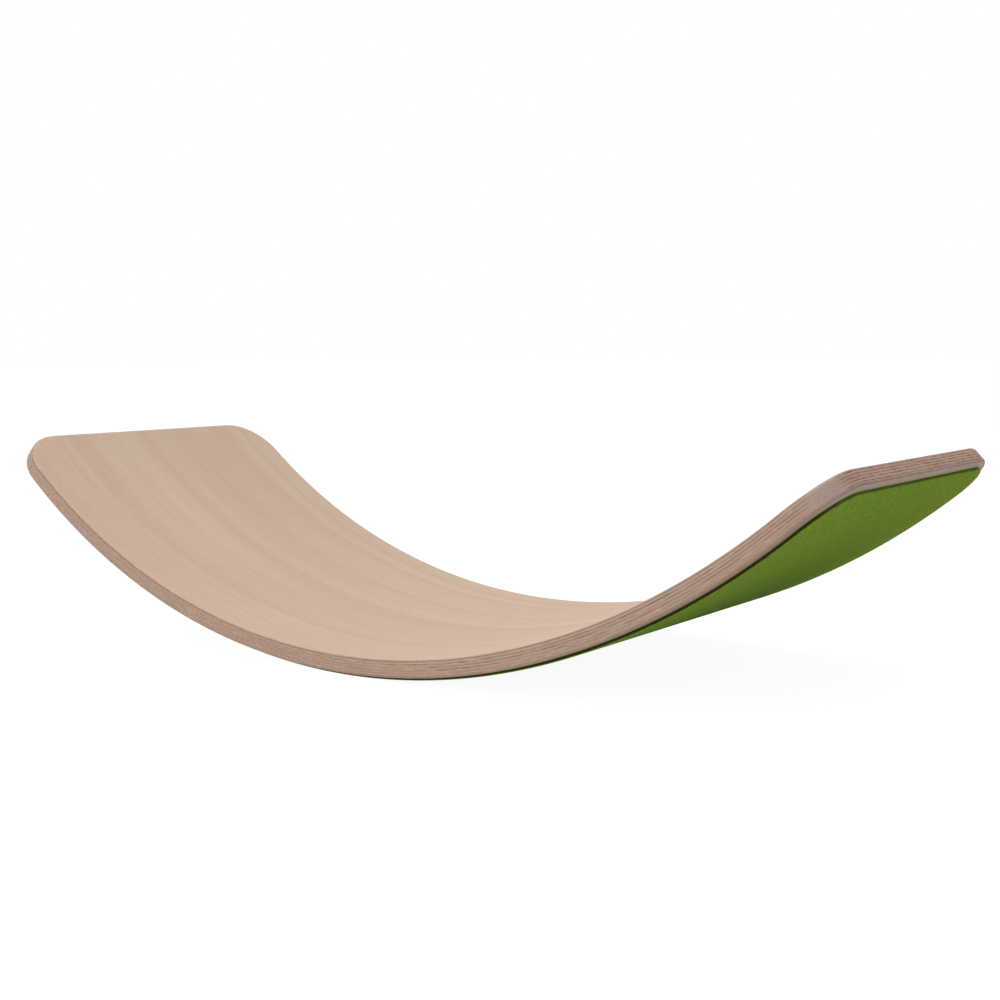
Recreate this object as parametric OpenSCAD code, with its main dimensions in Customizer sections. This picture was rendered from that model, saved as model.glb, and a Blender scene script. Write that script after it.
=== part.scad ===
// Curvy balance board: beech veneers glued in a mould into one bent board, with felt under it.
// X runs along the board, Y across it and Z up. The origin is on the floor, under the middle.
// The bend is one arc about an axis along Y, high over the board.

/* [Board] */
// Length from end to end, straight across the hollow
board_length = 800; // [600:5:1000]
// Width from edge to edge
board_width = 300; // [200:5:400]
// Radius of the bend on its hollow side
bend_radius = 570; // [540:5:900]
// Radius of the four corners, seen square to the board's end
corner_radius = 42; // [25:1:90]
// Radius of the rounding around the rim of the hollow face
top_rim_radius = 3.3; // [1:0.1:5]
// Radius of the rounding around the rim of the underside
bottom_rim_radius = 2.5; // [1:0.1:5]

/* [Veneers] */
// Thickness of one veneer
veneer_thickness = 1.1; // [0.8:0.05:1.5]

/* [Felt] */
// Thickness of the felt
felt_thickness = 2.5; // [1:0.1:4]
// Bare plywood left around the felt
felt_margin = 7; // [4:0.5:20]

/* [Hidden] */
$fn = 360;

// The veneers from the hollow side down: the grain runs along the board and across it by turns
VENEERS = [
    "top_face_veneer",
    "cross_veneer_1",
    "long_veneer_1",
    "cross_veneer_2",
    "long_veneer_2",
    "cross_veneer_3",
    "long_veneer_3",
    "cross_veneer_4",
    "long_veneer_4",
    "cross_veneer_5",
    "long_veneer_5",
    "cross_veneer_6",
    "bottom_face_veneer"
];

veneer_count = len(VENEERS);
plywood_thickness = veneer_count * veneer_thickness;
underside_radius = bend_radius + plywood_thickness;

// Height of the bend's axis above the floor
axis_height = underside_radius + felt_thickness;

// Angle from the middle of the board to its end, with the length taken over the rounded lower rim
rim_centre_radius = underside_radius - bottom_rim_radius;
rim_centre_reach = board_length / 2 - bottom_rim_radius;
half_angle = asin(rim_centre_reach / norm([rim_centre_radius, bottom_rim_radius]))
    + atan2(bottom_rim_radius, rim_centre_radius);

// How far a blank runs past the cut that trims it
overrun = 10;
blank_width = board_width + 2 * overrun;
blank_angle = half_angle + asin(overrun / bend_radius);
trim_reach = max(axis_height, board_width) + overrun;

// How far a corner's arc reaches past the two edges beside it, so that it crosses them cleanly
arc_overlap = 0.05;

// How far a rounded rim stands back at a depth below its face
function rim_setback(depth, radius) =
    depth < radius ? radius - sqrt(radius ^ 2 - (radius - depth) ^ 2) : 0;

// How far a veneer stands back from the widest outline, taken at the middle of its thickness
function veneer_setback(index) =
    let (middle = (index + 1 / 2) * veneer_thickness)
    rim_setback(middle, top_rim_radius) + rim_setback(plywood_thickness - middle, bottom_rim_radius);

// One bent blank, longer and wider than what is cut from it, about the bend's axis
module bent_blank(inner_radius, thickness) {
    rotate([90, 0, 0])
        rotate([0, 0, -90 - blank_angle])
            rotate_extrude(angle = 2 * blank_angle)
                translate([inner_radius, -blank_width / 2])
                    square([thickness, blank_width]);
}

// A quarter plane, cut off well behind, that lies back from the origin along X and Y, with its
// corner at the origin rounded
module rounded_corner(radius) {
    difference() {
        translate([-trim_reach, -trim_reach])
            square(trim_reach);
        translate([-radius, -radius])
            difference() {
                square(radius + overrun);
                circle(radius + arc_overlap);
            }
    }
}

// All that lies inside one end, one long edge and the corner between them, about the bend's axis
module corner_trim(setback) {
    rotate([0, -half_angle, 0])
        translate([-setback, board_width / 2 - setback, 0])
            linear_extrude(2 * trim_reach, center = true)
                rounded_corner(corner_radius - setback);
}

// A bent sheet with square-cut edges and four round corners
module bent_sheet(inner_radius, thickness, setback) {
    translate([0, 0, axis_height])
        intersection() {
            bent_blank(inner_radius, thickness);
            corner_trim(setback);
            mirror([1, 0, 0])
                corner_trim(setback);
            mirror([0, 1, 0])
                corner_trim(setback);
            mirror([1, 0, 0])
                mirror([0, 1, 0])
                    corner_trim(setback);
        }
}

// A veneer with its grain along the board is paler at its edge than one with its grain across
module veneer(index) {
    color(index % 2 == 0 ? "#cfb59f" : "#a98b78")
        bent_sheet(bend_radius + index * veneer_thickness, veneer_thickness, veneer_setback(index));
}

module felt_underside() {
    color("#66782d")
        bent_sheet(underside_radius, felt_thickness, felt_margin);
}

for (index = [0 : veneer_count - 1])
    veneer(index);
felt_underside();
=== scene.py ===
"""Dresses the curvy balance board: thirteen bent beech veneers and a felt underside, in a white studio.

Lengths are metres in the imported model's own frame: X runs along the board, Y across it and Z up.
"""

import logging
from collections.abc import Iterator
from dataclasses import dataclass
from enum import Enum
from math import acos, asin, ceil, cos, pi, radians, sin

import bmesh
import bpy
from mathutils import Matrix, Vector


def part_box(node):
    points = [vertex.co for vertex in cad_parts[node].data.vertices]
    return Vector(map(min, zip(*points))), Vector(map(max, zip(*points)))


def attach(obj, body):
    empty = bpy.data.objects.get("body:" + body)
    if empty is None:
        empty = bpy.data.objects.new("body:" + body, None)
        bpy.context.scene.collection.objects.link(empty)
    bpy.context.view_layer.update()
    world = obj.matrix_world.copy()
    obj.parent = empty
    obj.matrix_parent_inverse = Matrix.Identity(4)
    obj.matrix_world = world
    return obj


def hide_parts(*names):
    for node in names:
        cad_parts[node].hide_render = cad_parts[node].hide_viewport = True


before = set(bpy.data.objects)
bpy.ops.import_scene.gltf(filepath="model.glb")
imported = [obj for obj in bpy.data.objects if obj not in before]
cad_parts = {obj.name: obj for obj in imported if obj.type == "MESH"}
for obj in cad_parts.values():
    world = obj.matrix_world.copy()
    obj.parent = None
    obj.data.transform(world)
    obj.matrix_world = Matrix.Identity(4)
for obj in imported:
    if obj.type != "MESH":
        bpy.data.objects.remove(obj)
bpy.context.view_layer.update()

log = logging.getLogger("balance_board")

Colour = tuple[float, float, float, float]
Triple = tuple[float, float, float]
Socket = bpy.types.NodeSocket

# A place on a sheet is a station and a column, and a ring is one outline's vertices by place
Place = tuple[int, int]
Step = tuple[Place, Place]
Ring = dict[Place, bmesh.types.BMVert]

BODY = "root"

# What each mesh carries for its finish: the place on the flattened board, and how the rim stands there
UNROLLED = "unrolled"
RIM = "rim"

# The name by which the export knows a texture map
TEXTURE_MAP = "OFBake"

QUARTER_TURN = pi / 2

# The middle of a range from 0 to 1, such as a noise's or a thickness's
MIDDLE = 0.5

# Where a written colour's red, green and blue digits start, and the most that two digits can say
CODE_STARTS = (1, 3, 5)
CODE_TOP = 255

# The curve from a written colour to linear light
CURVE_KNEE = 0.04045
CURVE_SLOPE = 12.92
CURVE_OFFSET = 0.055
CURVE_POWER = 2.4

# The colour mixer's own sockets, by number, because its numbers and vectors have the same names
MIX_SHARE = 0
MIX_FIRST = 6
MIX_SECOND = 7
MIX_RESULT = 2


def linear(code: str) -> Colour:
    """Turns a written colour into the linear light that the shaders use.

    Args:
        code: six hexadecimal digits after a hash sign.

    Returns:
        Red, green, blue and an alpha of 1.
    """
    light = []
    for start in CODE_STARTS:
        level = int(code[start:start + 2], 16) / CODE_TOP
        if level <= CURVE_KNEE:
            light.append(level / CURVE_SLOPE)
        else:
            light.append(((level + CURVE_OFFSET) / (1 + CURVE_OFFSET)) ** CURVE_POWER)
    return (light[0], light[1], light[2], 1.0)


class Grain(Enum):
    """Which way a veneer's grain runs."""

    LONG = "along the board"
    CROSS = "across the board"


@dataclass(frozen=True)
class Pattern:
    """A soft noise: the length of its lumps along, across and through the board, where 0 is endless."""

    along: float
    across: float
    through: float
    detail: float = 2.0
    roughness: float = 0.5


@dataclass(frozen=True)
class Span:
    """Maps values from low to high, with soft ends, to shares from start to end."""

    low: float
    high: float
    start: float = 0.0
    end: float = 1.0


@dataclass(frozen=True)
class BoardShape:
    """The driving sizes of the bent board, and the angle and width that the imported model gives."""

    width: float
    half_angle: float
    veneer_count: int
    bend_radius: float = 0.570
    corner_radius: float = 0.042
    top_rim_radius: float = 0.0033
    bottom_rim_radius: float = 0.0025
    veneer_thickness: float = 0.0011
    felt_thickness: float = 0.0025
    felt_margin: float = 0.007

    @classmethod
    def from_frame(cls, veneers: list[str]) -> "BoardShape":
        """Reads the width and the bend's end angle from the middle veneer.

        Args:
            veneers: the names of the veneer nodes, from the hollow side down.

        Returns:
            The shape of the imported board.
        """
        middle = len(veneers) // 2
        low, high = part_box(veneers[middle])
        outer = cls.bend_radius + (middle + 1) * cls.veneer_thickness
        return cls(width=high[1] - low[1], half_angle=asin(high[0] / outer), veneer_count=len(veneers))

    @property
    def plywood(self) -> float:
        """Thickness of all the veneers together."""
        return self.veneer_count * self.veneer_thickness

    @property
    def axis_height(self) -> float:
        """Height of the bend's axis above the floor."""
        return self.bend_radius + self.plywood + self.felt_thickness

    def point(self, depth: float, angle: float, across: float) -> Vector:
        """Places a point of the bent board.

        Args:
            depth: distance below the hollow face.
            angle: angle about the bend's axis, from the middle towards +X.
            across: distance from the middle along Y.

        Returns:
            The point in the frame.
        """
        radius = self.bend_radius + depth
        return Vector((radius * sin(angle), across, self.axis_height - radius * cos(angle)))


@dataclass(frozen=True)
class Level:
    """One outline of a sheet, at one depth.

    wall is 0 where the surface lies with the face and 1 where it stands square to it.
    """

    depth: float
    setback: float
    wall: float


@dataclass(frozen=True)
class TextureMap:
    """Where a sheet's surface lies on its square texture map, with its edge cut into rows.

    upper and lower are the shares of the map's height that the two faces take. The rows share the rest.
    """

    upper: float
    lower: float
    rows: int
    gap: float = 0.003

    def inside(self, share: float, foot: float, height: float) -> float:
        """Places a share of a stretch of the map, clear of the stretch's two ends."""
        return foot + self.gap + (height - 2 * self.gap) * share

    def on_face(self, along: float, across: float, lower: bool) -> tuple[float, float]:
        """Places a point of a face.

        Args:
            along: the point's share of the sheet's length.
            across: the point's share of the sheet's width.
            lower: True for the face away from the hollow.

        Returns:
            The place on the map.
        """
        foot, height = (self.upper, self.lower) if lower else (0.0, self.upper)
        return self.inside(along, 0.0, 1.0), self.inside(across, foot, height)

    def on_edge(self, row: int, along: float, down: float) -> tuple[float, float]:
        """Places a point of the edge.

        Args:
            row: the row that the point lies in.
            along: the point's share of the row's length.
            down: the point's share of the way from the upper face to the lower.

        Returns:
            The place on the map.
        """
        faces = self.upper + self.lower
        height = (1 - faces) / self.rows
        return self.inside(along, 0.0, 1.0), self.inside(down, faces + row * height, height)


@dataclass
class BentSheet:
    """A closed mesh of one bent sheet with round corners, made of outlines at several depths.

    Along an outline lie stations, from one end of the board to the other, and across it lie columns.
    """

    shape: BoardShape
    levels: list[Level]
    texture: TextureMap
    sharp_top: bool = True
    sharp_bottom: bool = True
    corner_steps: int = 18
    bend_steps: int = 96
    columns: int = 6

    @property
    def last(self) -> int:
        """Number of the last station."""
        return 2 * self.corner_steps + self.bend_steps

    def outline(self, level: Level) -> list[Triple]:
        """Follows the sheet from its -X end to its +X end.

        Args:
            level: the outline's depth and setback.

        Returns:
            For each station its angle, half its width, and how much its edge faces the end.
        """
        shape = self.shape
        radius = shape.bend_radius + level.depth
        arc = shape.corner_radius - level.setback
        straight = shape.width / 2 - shape.corner_radius
        corner = []
        for step in range(self.corner_steps + 1):
            turn = step / self.corner_steps * QUARTER_TURN
            back = arc * sin(turn) - shape.corner_radius
            angle = shape.half_angle + asin(back / radius)
            corner.append((angle, straight + arc * cos(turn), sin(turn) ** 2))
        start, half_width, _ = corner[0]
        bend = []
        for step in range(1, self.bend_steps):
            bend.append((start * (2 * step / self.bend_steps - 1), half_width, 0.0))
        mirrored = [(-angle, half, end) for angle, half, end in reversed(corner)]
        return mirrored + bend + corner

    def perimeter(self) -> list[Step]:
        """Walks once around the sheet's edge.

        Returns:
            Each step, from one station and column to the next.
        """
        far = [(station, self.columns) for station in range(self.last + 1)]
        right = [(self.last, column) for column in range(self.columns - 1, 0, -1)]
        near = [(station, 0) for station in range(self.last, -1, -1)]
        left = [(0, column) for column in range(1, self.columns)]
        places = far + right + near + left
        return list(zip(places, places[1:] + places[:1]))

    def add_level(self, mesh: bmesh.types.BMesh, level: Level, whole: bool) -> Ring:
        """Adds one outline's vertices.

        Args:
            mesh: the mesh being made.
            level: the outline.
            whole: True to add the vertices inside the outline too.

        Returns:
            The vertices by station and column.
        """
        unrolled = mesh.verts.layers.float_vector[UNROLLED]
        rim = mesh.verts.layers.float_vector[RIM]
        top, bottom = self.levels[0].depth, self.levels[-1].depth
        layer = (level.depth - top) / (bottom - top)
        made = {}
        for station, (angle, half, end) in enumerate(self.outline(level)):
            for column in range(self.columns + 1):
                inside = 0 < station < self.last and 0 < column < self.columns
                if inside and not whole:
                    continue
                across = half * (2 * column / self.columns - 1)
                vertex = mesh.verts.new(self.shape.point(level.depth, angle, across))
                vertex[unrolled] = (self.shape.bend_radius * angle, across, level.depth)
                vertex[rim] = (level.wall, end, layer)
                made[station, column] = vertex
        return made

    def add_face(self, mesh: bmesh.types.BMesh, grid: Ring, lower: bool) -> None:
        """Fills one outline with a grid of faces.

        Args:
            mesh: the mesh being made.
            grid: the outline's vertices by station and column.
            lower: True for the face away from the hollow.
        """
        unrolled = mesh.verts.layers.float_vector[UNROLLED]
        texture = mesh.loops.layers.uv[TEXTURE_MAP]
        length = 2 * self.shape.bend_radius * self.shape.half_angle
        for station in range(self.last):
            for column in range(self.columns):
                face = mesh.faces.new((
                    grid[station, column],
                    grid[station + 1, column],
                    grid[station + 1, column + 1],
                    grid[station, column + 1],
                ))
                for loop in face.loops:
                    along, across, _ = loop.vert[unrolled]
                    shares = (along / length + MIDDLE, across / self.shape.width + MIDDLE)
                    loop[texture].uv = self.texture.on_face(*shares, lower)

    def edge_rows(self, ring: Ring, edge: list[Step]) -> list[tuple[int, float, float]]:
        """Cuts the way round the sheet into the texture map's rows, all of one length.

        Args:
            ring: an outline's vertices by station and column.
            edge: the steps around the sheet.

        Returns:
            For each step its row, and the shares of the row's length where it starts and ends.
        """
        lengths = [(ring[there].co - ring[here].co).length for here, there in edge]
        row_length = sum(lengths) / self.texture.rows
        overlap = max(lengths) / 2
        rows = []
        start = 0.0
        for length in lengths:
            row = int((start + length / 2) / row_length)
            before = start - row * row_length + overlap
            whole = row_length + 2 * overlap
            rows.append((row, before / whole, (before + length) / whole))
            start += length
        return rows

    def add_edge(self, mesh: bmesh.types.BMesh, rings: list[Ring], edge: list[Step]) -> None:
        """Joins the outlines by bands of faces.

        Args:
            mesh: the mesh being made.
            rings: each outline's vertices by station and column.
            edge: the steps around the sheet.
        """
        texture = mesh.loops.layers.uv[TEXTURE_MAP]
        rows = self.edge_rows(rings[0], edge)
        bands = len(rings) - 1
        for band, (upper, lower) in enumerate(zip(rings, rings[1:])):
            for (here, there), (row, start, end) in zip(edge, rows):
                face = mesh.faces.new((upper[here], upper[there], lower[there], lower[here]))
                corners = ((start, band), (end, band), (end, band + 1), (start, band + 1))
                for loop, (along, down) in zip(face.loops, corners):
                    loop[texture].uv = self.texture.on_edge(row, along, down / bands)

    def build(self, name: str) -> bpy.types.Object:
        """Makes the closed mesh and its object.

        Args:
            name: the object's name.

        Returns:
            The object, linked to the scene.
        """
        mesh = bmesh.new()
        mesh.verts.layers.float_vector.new(UNROLLED)
        mesh.verts.layers.float_vector.new(RIM)
        mesh.loops.layers.uv.new(TEXTURE_MAP)
        edge = self.perimeter()
        outer = (self.levels[0], self.levels[-1])
        rings = [self.add_level(mesh, level, level in outer) for level in self.levels]
        self.add_face(mesh, rings[0], False)
        self.add_face(mesh, rings[-1], True)
        self.add_edge(mesh, rings, edge)
        bmesh.ops.recalc_face_normals(mesh, faces=mesh.faces)
        for face in mesh.faces:
            face.smooth = True
        for ring, sharp in ((rings[0], self.sharp_top), (rings[-1], self.sharp_bottom)):
            for here, there in edge:
                mesh.edges.get((ring[here], ring[there])).smooth = not sharp
        data = bpy.data.meshes.new(name)
        mesh.to_mesh(data)
        mesh.free()
        piece = bpy.data.objects.new(name, data)
        bpy.context.scene.collection.objects.link(piece)
        return piece


class ShaderSketch:
    """Lays out a material's nodes with short calls."""

    def __init__(self, name: str) -> None:
        """Starts a material with one principled surface.

        Args:
            name: the material's name.
        """
        self.material = bpy.data.materials.new(name)
        self.material.use_nodes = True
        self.tree = self.material.node_tree
        self.tree.nodes.clear()
        self.surface = self.add("ShaderNodeBsdfPrincipled")
        output = self.add("ShaderNodeOutputMaterial")
        self.tree.links.new(self.surface.outputs["BSDF"], output.inputs["Surface"])

    def add(self, kind: str, **settings: object) -> bpy.types.Node:
        """Adds a node.

        Args:
            kind: the node's type.
            settings: its options by name.

        Returns:
            The node.
        """
        node = self.tree.nodes.new(kind)
        for option, value in settings.items():
            setattr(node, option, value)
        return node

    def feed(self, socket: Socket, value: object) -> None:
        """Links a socket to another, or sets its own value.

        Args:
            socket: the socket to feed.
            value: another node's output, or a number or colour.
        """
        if isinstance(value, Socket):
            self.tree.links.new(value, socket)
        else:
            socket.default_value = value

    def attribute(self, name: str) -> Socket:
        """Reads a vector that the mesh carries."""
        return self.add("ShaderNodeAttribute", attribute_name=name).outputs["Vector"]

    def parts(self, vector: Socket) -> list[Socket]:
        """Splits a vector.

        Args:
            vector: the vector to split.

        Returns:
            Its three numbers.
        """
        node = self.add("ShaderNodeSeparateXYZ")
        self.feed(node.inputs[0], vector)
        return list(node.outputs)

    def math(self, operation: str, first: object, second: object = 0.0) -> Socket:
        """Joins two numbers.

        Args:
            operation: the name of the sum, product or like operation.
            first: a number or a socket.
            second: a number or a socket.

        Returns:
            The result.
        """
        node = self.add("ShaderNodeMath", operation=operation)
        self.feed(node.inputs[0], first)
        self.feed(node.inputs[1], second)
        return node.outputs[0]

    def times(self, first: object, second: object) -> Socket:
        """Multiplies two numbers."""
        return self.math("MULTIPLY", first, second)

    def stretch(self, place: Socket, sizes: Triple) -> Socket:
        """Divides a place by the sizes that a pattern has each way.

        Args:
            place: the place on the unrolled board.
            sizes: the pattern's length along, across and through the board, where 0 is endless.

        Returns:
            The place, in pattern lengths.
        """
        node = self.add("ShaderNodeVectorMath", operation="MULTIPLY")
        self.feed(node.inputs[0], place)
        node.inputs[1].default_value = [1 / size if size else 0.0 for size in sizes]
        return node.outputs[0]

    def shift(self, place: Socket, across: Socket) -> Socket:
        """Moves a place across the board.

        Args:
            place: the place on the unrolled board.
            across: how far to move it.

        Returns:
            The moved place.
        """
        offset = self.add("ShaderNodeCombineXYZ")
        self.feed(offset.inputs["Y"], across)
        node = self.add("ShaderNodeVectorMath", operation="ADD")
        self.feed(node.inputs[0], place)
        self.feed(node.inputs[1], offset.outputs[0])
        return node.outputs[0]

    def noise(self, place: Socket, pattern: Pattern) -> Socket:
        """Adds a soft noise.

        Args:
            place: the place on the unrolled board.
            pattern: the size and character of the noise.

        Returns:
            A number that is mostly between 0.2 and 0.8.
        """
        node = self.add("ShaderNodeTexNoise")
        sizes = (pattern.along, pattern.across, pattern.through)
        self.feed(node.inputs["Vector"], self.stretch(place, sizes))
        node.inputs["Scale"].default_value = 1.0
        node.inputs["Detail"].default_value = pattern.detail
        node.inputs["Roughness"].default_value = pattern.roughness
        return node.outputs["Fac"]

    def dots(self, place: Socket, spacing: float) -> Socket:
        """Scatters points through the board.

        Args:
            place: the place on the unrolled board.
            spacing: the points' mean distance.

        Returns:
            The distance to the nearest point, in spacings.
        """
        node = self.add("ShaderNodeTexVoronoi")
        self.feed(node.inputs["Vector"], self.stretch(place, (spacing, spacing, spacing)))
        node.inputs["Scale"].default_value = 1.0
        return node.outputs["Distance"]

    def ease(self, value: Socket, span: Span) -> Socket:
        """Maps a number to a share.

        Args:
            value: the number to map.
            span: the values and the shares.

        Returns:
            The share.
        """
        node = self.add("ShaderNodeMapRange", interpolation_type="SMOOTHSTEP")
        for socket, number in zip(node.inputs, (value, span.low, span.high, span.start, span.end)):
            self.feed(socket, number)
        return node.outputs[0]

    def patches(self, place: Socket, pattern: Pattern, span: Span) -> Socket:
        """Adds a soft noise and maps it to a share."""
        return self.ease(self.noise(place, pattern), span)

    def blend(self, share: Socket, first: object, second: object) -> Socket:
        """Mixes two colours.

        Args:
            share: how much of the second colour, from 0 to 1.
            first: a colour or a socket.
            second: a colour or a socket.

        Returns:
            The mixed colour.
        """
        node = self.add("ShaderNodeMix", data_type="RGBA", clamp_factor=True)
        for number, value in ((MIX_SHARE, share), (MIX_FIRST, first), (MIX_SECOND, second)):
            self.feed(node.inputs[number], value)
        return node.outputs[MIX_RESULT]

    def bump(self, height: Socket, relief: float, strength: float = 1.0,
             under: Socket | None = None) -> Socket:
        """Turns a height from 0 to 1 into a relief.

        Args:
            height: the pattern.
            relief: how high the pattern stands, in metres.
            strength: how much of it is used.
            under: a relief that this one lies on.

        Returns:
            The bent normal.
        """
        node = self.add("ShaderNodeBump")
        node.inputs["Strength"].default_value = strength
        node.inputs["Distance"].default_value = relief
        self.feed(node.inputs["Height"], height)
        if under is not None:
            self.feed(node.inputs["Normal"], under)
        return node.outputs[0]


@dataclass(frozen=True)
class BeechEdge:
    """The cut edge of a beech veneer: end grain in broken dark dashes, long grain in pale fibres.

    On the long edges the lines are calm low down and faint towards -X, where dark pores take over.
    """

    grain: Grain
    long_pale: Colour = linear("#c5ab99")
    long_dark: Colour = linear("#b39685")
    end_pale: Colour = linear("#ad8b78")
    end_dark: Colour = linear("#875b45")
    joint: Colour = linear("#a28675")
    calm: Colour = linear("#b79a87")
    bright: Colour = linear("#cbbcb0")
    second: Colour = linear("#937566")
    corner_grey: Colour = linear("#b9a398")
    pore: Colour = linear("#8a6d5e")
    speck: Colour = linear("#3b2a23")
    fibre: Pattern = Pattern(0.030, 0.030, 0.00045)
    fibre_share: Span = Span(0.30, 0.75)
    dash: Pattern = Pattern(0.008, 0.008, 0.0006, 3.0, 0.6)
    dash_share: Span = Span(0.42, 0.64)
    fade: Pattern = Pattern(0.028, 0.028, 0.0013, 1.0)
    fade_share: Span = Span(0.34, 0.58, 0.35, 1.0)
    end_share: Span = Span(0.20, 0.80)
    joint_share: Span = Span(0.42, 0.50, 0.0, 0.30)
    calm_share: Span = Span(0.0070, 0.0115, 0.0, 0.75)
    faint_share: Span = Span(-0.20, 0.20, 0.70, 0.0)
    bright_dash: Pattern = Pattern(0.009, 0.009, 0.0008)
    bright_share: Span = Span(0.55, 0.72, 0.0, 0.6)
    second_top: Span = Span(0.0008, 0.0013)
    second_foot: Span = Span(0.0018, 0.0025, 0.65, 0.0)
    corner_grey_share: Span = Span(0.06, 0.24, 0.0, 0.75)
    pores: Pattern = Pattern(0.0020, 0.0020, 0.0010, 1.0)
    pore_share: Span = Span(0.53, 0.70, 0.0, 0.8)
    pore_fade: Span = Span(-0.20, 0.20, 1.0, 0.3)
    speck_spacing: float = 0.034
    speck_share: Span = Span(0.020, 0.035, 0.9, 0.0)
    dash_depth: float = -0.3
    fibre_height: float = 0.5
    rough: Span = Span(0.0, 0.5, 0.72, 0.58)
    shine: float = 0.15
    relief: float = 0.00008

    def grained(self, sketch: ShaderSketch, place: Socket, end: Socket,
                layer: Socket) -> tuple[Socket, Socket]:
        """Lays out the lines of the grain, and the joints between the veneers.

        Args:
            sketch: the material being made.
            place: the place on the unrolled board.
            end: how much the edge faces the board's end.
            layer: the share of the way through the veneer.

        Returns:
            The colour, and a height for its relief.
        """
        fibres = sketch.noise(place, self.fibre)
        dashes = sketch.patches(place, self.dash, self.dash_share)
        across = end if self.grain is Grain.LONG else sketch.math("SUBTRACT", 1.0, end)
        faded = sketch.patches(place, self.fade, self.fade_share)
        ends = sketch.times(sketch.ease(across, self.end_share), faded)
        long_grain = sketch.blend(sketch.ease(fibres, self.fibre_share), self.long_pale, self.long_dark)
        end_grain = sketch.blend(dashes, self.end_pale, self.end_dark)
        colour = sketch.blend(ends, long_grain, end_grain)
        from_middle = sketch.math("ABSOLUTE", sketch.math("SUBTRACT", layer, MIDDLE))
        colour = sketch.blend(sketch.ease(from_middle, self.joint_share), colour, self.joint)
        sunk = sketch.times(dashes, self.dash_depth)
        return colour, sketch.math("ADD", sketch.times(fibres, self.fibre_height), sunk)

    def sanded(self, sketch: ShaderSketch, colour: Socket, place: Socket, end: Socket) -> Socket:
        """Calms the lines of the long edges, and adds light dashes and a greyer tone on the round
        corners.

        Args:
            sketch: the material being made.
            colour: the grain's colour.
            place: the place on the unrolled board.
            end: how much the edge faces the board's end.

        Returns:
            The colour.
        """
        along, _, depth = sketch.parts(place)
        side = sketch.math("SUBTRACT", 1.0, end)
        faint = sketch.ease(along, self.faint_share)
        calm = sketch.math("MAXIMUM", sketch.ease(depth, self.calm_share), faint)
        colour = sketch.blend(sketch.times(calm, side), colour, self.calm)
        brights = sketch.patches(place, self.bright_dash, self.bright_share)
        colour = sketch.blend(brights, colour, self.bright)
        below_rim = sketch.ease(depth, self.second_top)
        second = sketch.times(below_rim, sketch.ease(depth, self.second_foot))
        colour = sketch.blend(second, colour, self.second)
        # Greyer on the round corners, where the edge turns from the side to the end
        corner = sketch.times(end, side)
        return sketch.blend(sketch.ease(corner, self.corner_grey_share), colour, self.corner_grey)

    def speckled(self, sketch: ShaderSketch, colour: Socket, place: Socket) -> Socket:
        """Adds dark pores and a few specks.

        Args:
            sketch: the material being made.
            colour: the sanded grain's colour.
            place: the place on the unrolled board.

        Returns:
            The colour.
        """
        along = sketch.parts(place)[0]
        pores = sketch.patches(place, self.pores, self.pore_share)
        pores = sketch.times(pores, sketch.ease(along, self.pore_fade))
        colour = sketch.blend(pores, colour, self.pore)
        specks = sketch.ease(sketch.dots(place, self.speck_spacing), self.speck_share)
        return sketch.blend(specks, colour, self.speck)

    def colour(self, sketch: ShaderSketch) -> tuple[Socket, Socket]:
        """Lays out the edge's colour.

        Args:
            sketch: the material being made.

        Returns:
            The colour, and a height from 0 to 1 for its relief.
        """
        place = sketch.attribute(UNROLLED)
        end, layer = sketch.parts(sketch.attribute(RIM))[1:]
        colour, height = self.grained(sketch, place, end, layer)
        colour = self.sanded(sketch, colour, place, end)
        return self.speckled(sketch, colour, place), height

    def material(self) -> bpy.types.Material:
        """Makes the edge's finish.

        Returns:
            The material.
        """
        sketch = ShaderSketch("beech_edge_" + self.grain.name.lower())
        colour, height = self.colour(sketch)
        surface = sketch.surface.inputs
        sketch.feed(surface["Base Color"], colour)
        sketch.feed(surface["Roughness"], sketch.ease(height, self.rough))
        sketch.feed(surface["Normal"], sketch.bump(height, self.relief))
        surface["Specular IOR Level"].default_value = self.shine
        return sketch.material


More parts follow.
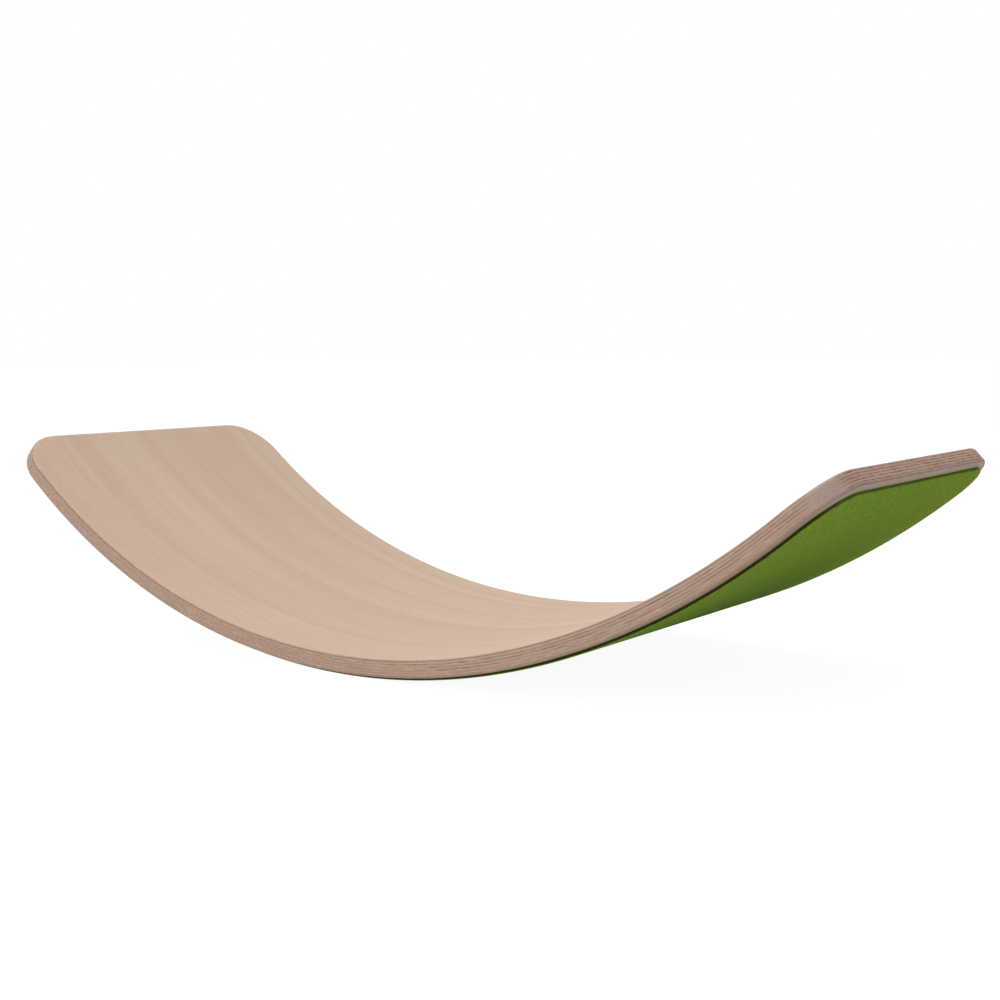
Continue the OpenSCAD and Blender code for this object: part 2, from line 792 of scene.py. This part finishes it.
@dataclass(frozen=True)
class BeechFace:
    """A sanded and sealed beech face, with its grain along the board.

    Beside the long edges it may be darker, a painted shade that one of its shares sets. Over the rim it
    turns into the edge.
    """

    name: str = "beech_face"
    pale: Colour = linear("#d5bda7")
    streak: Colour = linear("#c0a48d")
    shade: Colour = linear("#c9b09b")
    fleck: Colour = linear("#ab8a70")
    # Painted shade beside the long edges, used by the underside
    side_shade: Colour = linear("#b39583")
    wander: Pattern = Pattern(0.9, 0.16, 0.0)
    wander_reach: float = 0.030
    ring: Pattern = Pattern(2.4, 0.026, 0.0, 3.0, 0.6)
    ring_share: Span = Span(0.32, 0.74, 0.0, 0.6)
    cloud: Pattern = Pattern(0.40, 0.11, 0.0, 1.0)
    cloud_share: Span = Span(0.35, 0.70, 0.0, 0.5)
    fibre: Pattern = Pattern(0.070, 0.0010, 0.0)
    fibre_share: Span = Span(0.35, 0.70, 0.0, 0.30)
    pore: Pattern = Pattern(0.0055, 0.0010, 0.0, 1.0)
    pore_share: Span = Span(0.60, 0.76, 0.0, 0.4)
    side_shade_share: Span = Span(0.0, 0.5, 0.0, 0.0)
    edge: BeechEdge = BeechEdge(Grain.LONG)
    edge_share: Span = Span(0.24, 0.70, 0.0, 0.9)
    pore_depth: float = 1.6
    rough: Span = Span(0.2, 0.8, 0.58, 0.68)
    rim_gloss: Span = Span(0.10, 0.60, 1.0, 0.80)
    shine: float = 0.15
    relief: float = 0.00004
    edge_relief: float = 0.00003
    edge_strength: float = 0.5

    def colour(self, sketch: ShaderSketch) -> tuple[Socket, Socket, Socket]:
        """Lays out the face's colour.

        Args:
            sketch: the material being made.

        Returns:
            The colour, the fibres, and a height for the relief.
        """
        place = sketch.attribute(UNROLLED)
        drift = sketch.math("SUBTRACT", sketch.noise(place, self.wander), MIDDLE)
        warped = sketch.shift(place, sketch.times(drift, self.wander_reach))
        fibres = sketch.noise(warped, self.fibre)
        pores = sketch.patches(warped, self.pore, self.pore_share)
        rings = sketch.patches(warped, self.ring, self.ring_share)
        colour = sketch.blend(rings, self.pale, self.streak)
        clouds = sketch.patches(place, self.cloud, self.cloud_share)
        colour = sketch.blend(clouds, colour, self.shade)
        colour = sketch.blend(sketch.ease(fibres, self.fibre_share), colour, self.streak)
        colour = sketch.blend(pores, colour, self.fleck)
        # Painted shade: darker beside the long edges, fading towards the ends
        end = sketch.parts(sketch.attribute(RIM))[1]
        colour = sketch.blend(sketch.ease(end, self.side_shade_share), colour, self.side_shade)
        height = sketch.math("SUBTRACT", fibres, sketch.times(pores, self.pore_depth))
        return colour, fibres, height

    def material(self) -> bpy.types.Material:
        """Makes the face's finish, which turns into the cut edge over the rounded rim.

        Returns:
            The material.
        """
        sketch = ShaderSketch(self.name)
        wall = sketch.parts(sketch.attribute(RIM))[0]
        colour, fibres, height = self.colour(sketch)
        edge_colour, edge_height = self.edge.colour(sketch)
        gloss = sketch.ease(wall, self.rim_gloss)
        relief = sketch.bump(height, self.relief)
        normal = sketch.bump(edge_height, self.edge_relief, self.edge_strength, relief)
        surface = sketch.surface.inputs
        turned = sketch.ease(wall, self.edge_share)
        sketch.feed(surface["Base Color"], sketch.blend(turned, colour, edge_colour))
        sketch.feed(surface["Roughness"], sketch.times(sketch.ease(fibres, self.rough), gloss))
        sketch.feed(surface["Normal"], normal)
        surface["Specular IOR Level"].default_value = self.shine
        return sketch.material


@dataclass(frozen=True)
class WoolFelt:
    """Pressed wool felt, mottled between two greens, with painted shade on its cut edge where it meets
    the wood, less at the board's ends.
    """

    green: Colour = linear("#85b442")
    olive: Colour = linear("#97ad3d")
    light: Colour = linear("#abbf53")
    dark: Colour = linear("#617628")
    # Painted shade for the felt's cut edge below the wood
    cut_edge_shade: Colour = linear("#333f14")
    cloud: Pattern = Pattern(0.160, 0.250, 0.020)
    cloud_share: Span = Span(0.40, 0.62, 0.0, 0.5)
    mottle: Pattern = Pattern(0.005, 0.007, 0.005, 3.0, 0.65)
    mottle_share: Span = Span(0.42, 0.58, 0.0, 0.9)
    tuft: Pattern = Pattern(0.0032, 0.0045, 0.0032, 3.0, 0.6)
    tuft_share: Span = Span(0.46, 0.64, 0.0, 0.6)
    hair: Pattern = Pattern(0.0014, 0.0020, 0.0014)
    hair_share: Span = Span(0.46, 0.70, 0.0, 0.6)
    # Where the painted shade lies: down the cut edge from the wood to the soft lower corner, less at
    # the board's ends
    cut_edge_shade_share: Span = Span(0.60, 1.0, 0.95, 0.0)
    cut_edge_shade_at_end: Span = Span(0.0, 1.0, 1.0, 0.6)
    tuft_height: float = 0.6
    hair_height: float = 0.4
    rough: Span = Span(0.3, 0.7, 0.88, 0.98)
    relief: float = 0.0004
    relief_strength: float = 0.7
    shine: float = 0.0
    sheen: float = 0.6
    sheen_roughness: float = 0.15
    sheen_tint: Colour = linear("#7cb068")

    def material(self) -> bpy.types.Material:
        """Makes the felt's finish.

        Returns:
            The material.
        """
        sketch = ShaderSketch("green_felt")
        place = sketch.attribute(UNROLLED)
        end, layer = sketch.parts(sketch.attribute(RIM))[1:]
        tufts = sketch.noise(place, self.tuft)
        hairs = sketch.noise(place, self.hair)
        clouds = sketch.patches(place, self.cloud, self.cloud_share)
        colour = sketch.blend(clouds, self.green, self.olive)
        mottles = sketch.patches(place, self.mottle, self.mottle_share)
        colour = sketch.blend(mottles, colour, self.olive)
        colour = sketch.blend(sketch.ease(tufts, self.tuft_share), colour, self.light)
        colour = sketch.blend(sketch.ease(hairs, self.hair_share), colour, self.dark)
        # Painted shade: the cut edge under the plywood's overhang is darkened, less at the board's
        # ends, which take more light
        shade_at_wood = sketch.ease(layer, self.cut_edge_shade_share)
        cut_edge_shade = sketch.times(shade_at_wood, sketch.ease(end, self.cut_edge_shade_at_end))
        colour = sketch.blend(cut_edge_shade, colour, self.cut_edge_shade)
        raised = sketch.times(tufts, self.tuft_height)
        height = sketch.math("ADD", raised, sketch.times(hairs, self.hair_height))
        surface = sketch.surface.inputs
        sketch.feed(surface["Base Color"], colour)
        sketch.feed(surface["Roughness"], sketch.ease(tufts, self.rough))
        sketch.feed(surface["Normal"], sketch.bump(height, self.relief, self.relief_strength))
        surface["Specular IOR Level"].default_value = self.shine
        surface["Sheen Weight"].default_value = self.sheen
        surface["Sheen Roughness"].default_value = self.sheen_roughness
        surface["Sheen Tint"].default_value = self.sheen_tint
        return sketch.material


@dataclass
class Plywood:
    """The thirteen veneers, each a piece of its own, with the rim rounded over the outer ones.

    rim_step is the widest turn between two outlines of the rim, and rim_slack keeps a whole number of
    steps from being rounded up.
    """

    shape: BoardShape
    names: list[str]
    long_edge: BeechEdge = BeechEdge(
        Grain.LONG,
        end_pale=linear("#b08b77"),
        end_dark=linear("#7a4a36"),
        dash_share=Span(0.44, 0.60),
        fade_share=Span(0.30, 0.55, 0.55, 1.0),
    )
    cross_edge: BeechEdge = BeechEdge(
        Grain.CROSS,
        end_dark=linear("#96715e"),
        dash=Pattern(0.007, 0.007, 0.00045, 3.0, 0.65),
    )
    top_face: BeechFace = BeechFace()
    underside: BeechFace = BeechFace(
        "beech_underside",
        pale=linear("#d3c1b0"),
        streak=linear("#c4b09d"),
        # Painted shade beside the underside's long edges, none at the ends
        side_shade_share=Span(0.0, 0.5, 0.9, 0.0),
        edge_share=Span(0.25, 0.85, 0.0, 0.9),
    )
    top_map: TextureMap = TextureMap(upper=0.80, lower=0.08, rows=6)
    inner_map: TextureMap = TextureMap(upper=0.20, lower=0.20, rows=24)
    underside_map: TextureMap = TextureMap(upper=0.08, lower=0.80, rows=6)
    rim_step: float = radians(5)
    rim_slack: float = 0.001

    def rim_angle(self, inset: float, radius: float) -> float:
        """How far round a rounded rim a depth below the nearer face lies, from 0 to a quarter turn."""
        return acos(1 - min(inset / radius, 1))

    def rim_levels(self, start: float, end: float, from_below: bool) -> list[Level]:
        """Steps round the rim between two depths.

        Args:
            start: the upper depth.
            end: the lower depth.
            from_below: True for the rim of the underside.

        Returns:
            The outlines, from the upper depth to the lower.
        """
        shape = self.shape
        radius = shape.bottom_rim_radius if from_below else shape.top_rim_radius
        insets = (shape.plywood - start, shape.plywood - end) if from_below else (start, end)
        first, second = (self.rim_angle(inset, radius) for inset in insets)
        steps = max(1, ceil(abs(second - first) / self.rim_step - self.rim_slack))
        levels = []
        for step in range(steps + 1):
            turn = first + (second - first) * step / steps
            inset = radius * (1 - cos(turn))
            depth = shape.plywood - inset if from_below else inset
            levels.append(Level(depth, radius * (1 - sin(turn)), sin(turn)))
        levels[0] = Level(start, levels[0].setback, levels[0].wall)
        levels[-1] = Level(end, levels[-1].setback, levels[-1].wall)
        return levels

    def build(self) -> Iterator[bpy.types.Object]:
        """Makes the veneers from the hollow side down.

        Yields:
            Each veneer's piece, dressed and riding on the board.
        """
        shape = self.shape
        last = len(self.names) - 1
        finishes = {edge.grain: edge.material() for edge in (self.long_edge, self.cross_edge)}
        faces = {0: self.top_face.material(), last: self.underside.material()}
        maps = {0: self.top_map, last: self.underside_map}
        for number, node in enumerate(self.names):
            grain = Grain.LONG if number % 2 == 0 else Grain.CROSS
            start = number * shape.veneer_thickness
            end = start + shape.veneer_thickness
            levels = self.rim_levels(start, end, 2 * number > last)
            texture = maps.get(number, self.inner_map)
            sheet = BentSheet(shape, levels, texture, sharp_top=number > 0, sharp_bottom=number < last)
            piece = sheet.build(f"veneer_{number + 1:02d}_{grain.name.lower()}")
            outer = number in faces
            piece.data.materials.append(faces[number] if outer else finishes[grain])
            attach(piece, BODY)
            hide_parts(node)
            "beech_face" if outer else f"beech_{grain.name.lower()}_core"
            yield piece


@dataclass
class FeltUnderside:
    """The felt glued under the plywood, set in from its edge all round."""

    shape: BoardShape
    node: str = "felt_underside"
    edge_radius: float = 0.0007
    edge_steps: int = 6
    finish: WoolFelt = WoolFelt()
    texture: TextureMap = TextureMap(upper=0.08, lower=0.80, rows=6)

    def levels(self) -> list[Level]:
        """Steps down the felt's cut edge and round its soft lower corner.

        Returns:
            The outlines, from the wood down.
        """
        shape = self.shape
        margin = shape.felt_margin
        bottom = shape.plywood + shape.felt_thickness
        levels = [Level(shape.plywood, margin, 1.0)]
        for step in range(self.edge_steps + 1):
            turn = step / self.edge_steps * QUARTER_TURN
            depth = bottom - self.edge_radius * (1 - sin(turn))
            levels.append(Level(depth, margin + self.edge_radius * (1 - cos(turn)), cos(turn)))
        return levels

    def build(self, wood: bpy.types.Object) -> bpy.types.Object:
        """Makes the felt.

        Args:
            wood: the piece that the felt is glued to; not used.

        Returns:
            The felt's piece, dressed and riding on the board.
        """
        sheet = BentSheet(self.shape, self.levels(), self.texture, sharp_bottom=False)
        piece = sheet.build("felt_sheet")
        piece.data.materials.append(self.finish.material())
        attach(piece, BODY)
        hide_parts(self.node)
        return piece


@dataclass(frozen=True)
class Camera:
    """The photograph's view of the board, for a square picture."""

    azimuth: float = radians(36.24)
    elevation: float = radians(5.779)
    roll: float = radians(-0.543)
    distance: float = 1.1944
    target: Triple = (0.0429, 0.0, 0.1241)
    lens: float = 52.584
    sensor: float = 36.0

    def build(self) -> None:
        """Makes the camera and sets it as the scene's own."""
        data = bpy.data.cameras.new("camera")
        data.lens = self.lens
        data.sensor_width = self.sensor
        camera = bpy.data.objects.new("camera", data)
        bpy.context.scene.collection.objects.link(camera)
        back = Vector((
            sin(self.azimuth) * cos(self.elevation),
            -cos(self.azimuth) * cos(self.elevation),
            sin(self.elevation),
        ))
        vertical = Vector((0, 0, 1))
        right = vertical.cross(back).normalized()
        up = back.cross(right)
        across = right * cos(self.roll) + up * sin(self.roll)
        upward = up * cos(self.roll) - right * sin(self.roll)
        turn = Matrix((across, upward, back)).transposed().to_4x4()
        camera.matrix_world = Matrix.Translation(Vector(self.target) + self.distance * back) @ turn
        bpy.context.scene.camera = camera


@dataclass(frozen=True)
class Lamp:
    """A square soft lamp, with its side in metres and its power in watts."""

    name: str
    place: Triple
    size: float
    power: float
    aim: Triple = (0.0, 0.0, 0.1)

    def build(self) -> None:
        """Hangs the lamp and points it at its aim."""
        data = bpy.data.lights.new(self.name, "AREA")
        data.size = self.size
        data.energy = self.power
        lamp = bpy.data.objects.new(self.name, data)
        lamp.location = self.place
        sight = Vector(self.aim) - Vector(self.place)
        lamp.rotation_euler = sight.to_track_quat("-Z", "Y").to_euler()
        bpy.context.scene.collection.objects.link(lamp)


@dataclass(frozen=True)
class Studio:
    """A white floor, an even white surround and two soft lamps."""

    floor_reach: float = 40.0
    floor_colour: Colour = (0.62, 0.62, 0.62, 1.0)
    floor_seen: Colour = (0.22, 0.22, 0.22, 1.0)
    floor_glow: float = 0.94
    surround: float = 0.36
    white: Colour = (1.0, 1.0, 1.0, 1.0)
    lamps: tuple[Lamp, ...] = (
        Lamp("overhead_lamp", (0.0, 0.1, 2.2), size=2.2, power=31.5),
        Lamp("front_lamp", (-0.9, -2.4, 0.9), size=1.6, power=30.0),
    )

    def seen(self, tree: bpy.types.NodeTree) -> Socket:
        """Tells what is looked at from what only gives light.

        Args:
            tree: the nodes of the floor or the surround.

        Returns:
            1 where the camera, a reflection or a clear piece looks, and else 0.
        """
        path = tree.nodes.new("ShaderNodeLightPath")
        total = path.outputs["Is Camera Ray"]
        for kind in ("Is Glossy Ray", "Is Transmission Ray"):
            either = tree.nodes.new("ShaderNodeMath")
            either.operation = "MAXIMUM"
            tree.links.new(total, either.inputs[0])
            tree.links.new(path.outputs[kind], either.inputs[1])
            total = either.outputs[0]
        return total

    def choose(self, tree: bpy.types.NodeTree, lit: Socket, shown: Socket,
               output: bpy.types.Node) -> None:
        """Shows one shader to what looks, and another to what only takes light.

        Args:
            tree: the nodes of the floor or the surround.
            lit: the shader that gives light.
            shown: the shader that is looked at.
            output: the node that takes the result.
        """
        choice = tree.nodes.new("ShaderNodeMixShader")
        for socket, source in zip(choice.inputs, (self.seen(tree), lit, shown)):
            tree.links.new(source, socket)
        tree.links.new(choice.outputs[0], output.inputs["Surface"])

    def floor_finish(self) -> bpy.types.Material:
        """Makes the floor's finish, which looks white but keeps a trace of the board's shadow.

        Returns:
            The material.
        """
        material = bpy.data.materials.new("white_floor")
        material.use_nodes = True
        tree = material.node_tree
        tree.nodes.clear()
        plain = tree.nodes.new("ShaderNodeBsdfDiffuse")
        plain.inputs["Color"].default_value = self.floor_colour
        shaded = tree.nodes.new("ShaderNodeBsdfDiffuse")
        shaded.inputs["Color"].default_value = self.floor_seen
        glow = tree.nodes.new("ShaderNodeEmission")
        glow.inputs["Strength"].default_value = self.floor_glow
        both = tree.nodes.new("ShaderNodeAddShader")
        tree.links.new(shaded.outputs[0], both.inputs[0])
        tree.links.new(glow.outputs[0], both.inputs[1])
        output = tree.nodes.new("ShaderNodeOutputMaterial")
        self.choose(tree, plain.outputs[0], both.outputs[0], output)
        return material

    def floor(self) -> None:
        """Lays the floor."""
        mesh = bmesh.new()
        bmesh.ops.create_grid(mesh, x_segments=1, y_segments=1, size=self.floor_reach)
        data = bpy.data.meshes.new("floor")
        mesh.to_mesh(data)
        mesh.free()
        data.materials.append(self.floor_finish())
        floor = bpy.data.objects.new("floor", data)
        bpy.context.scene.collection.objects.link(floor)

    def world(self) -> None:
        """Sets an even surround that looks white."""
        world = bpy.data.worlds.new("surround")
        bpy.context.scene.world = world
        world.use_nodes = True
        tree = world.node_tree
        tree.nodes.clear()
        even = tree.nodes.new("ShaderNodeBackground")
        even.inputs["Color"].default_value = self.white
        even.inputs["Strength"].default_value = self.surround
        bright = tree.nodes.new("ShaderNodeBackground")
        bright.inputs["Color"].default_value = self.white
        output = tree.nodes.new("ShaderNodeOutputWorld")
        self.choose(tree, even.outputs[0], bright.outputs[0], output)

    def build(self) -> None:
        """Makes the whole studio."""
        self.floor()
        self.world()
        for lamp in self.lamps:
            lamp.build()
        bpy.context.scene.view_settings.view_transform = "Standard"


def main() -> None:
    """Builds the camera, the board and the studio, and logs each piece's face count."""
    logging.basicConfig(level=logging.INFO, format="%(name)s: %(message)s")
    names = [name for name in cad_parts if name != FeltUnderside.node]
    # From the hollow side down: each veneer reaches lower than the one above it
    names.sort(key=lambda name: -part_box(name)[0][2])
    shape = BoardShape.from_frame(names)
    Camera().build()
    pieces = list(Plywood(shape, names).build())
    pieces.append(FeltUnderside(shape).build(pieces[-1]))
    for piece in pieces:
        log.info("%s: %d faces", piece.name, len(piece.data.polygons))
    Studio().build()


if __name__ == "__main__":
    main()
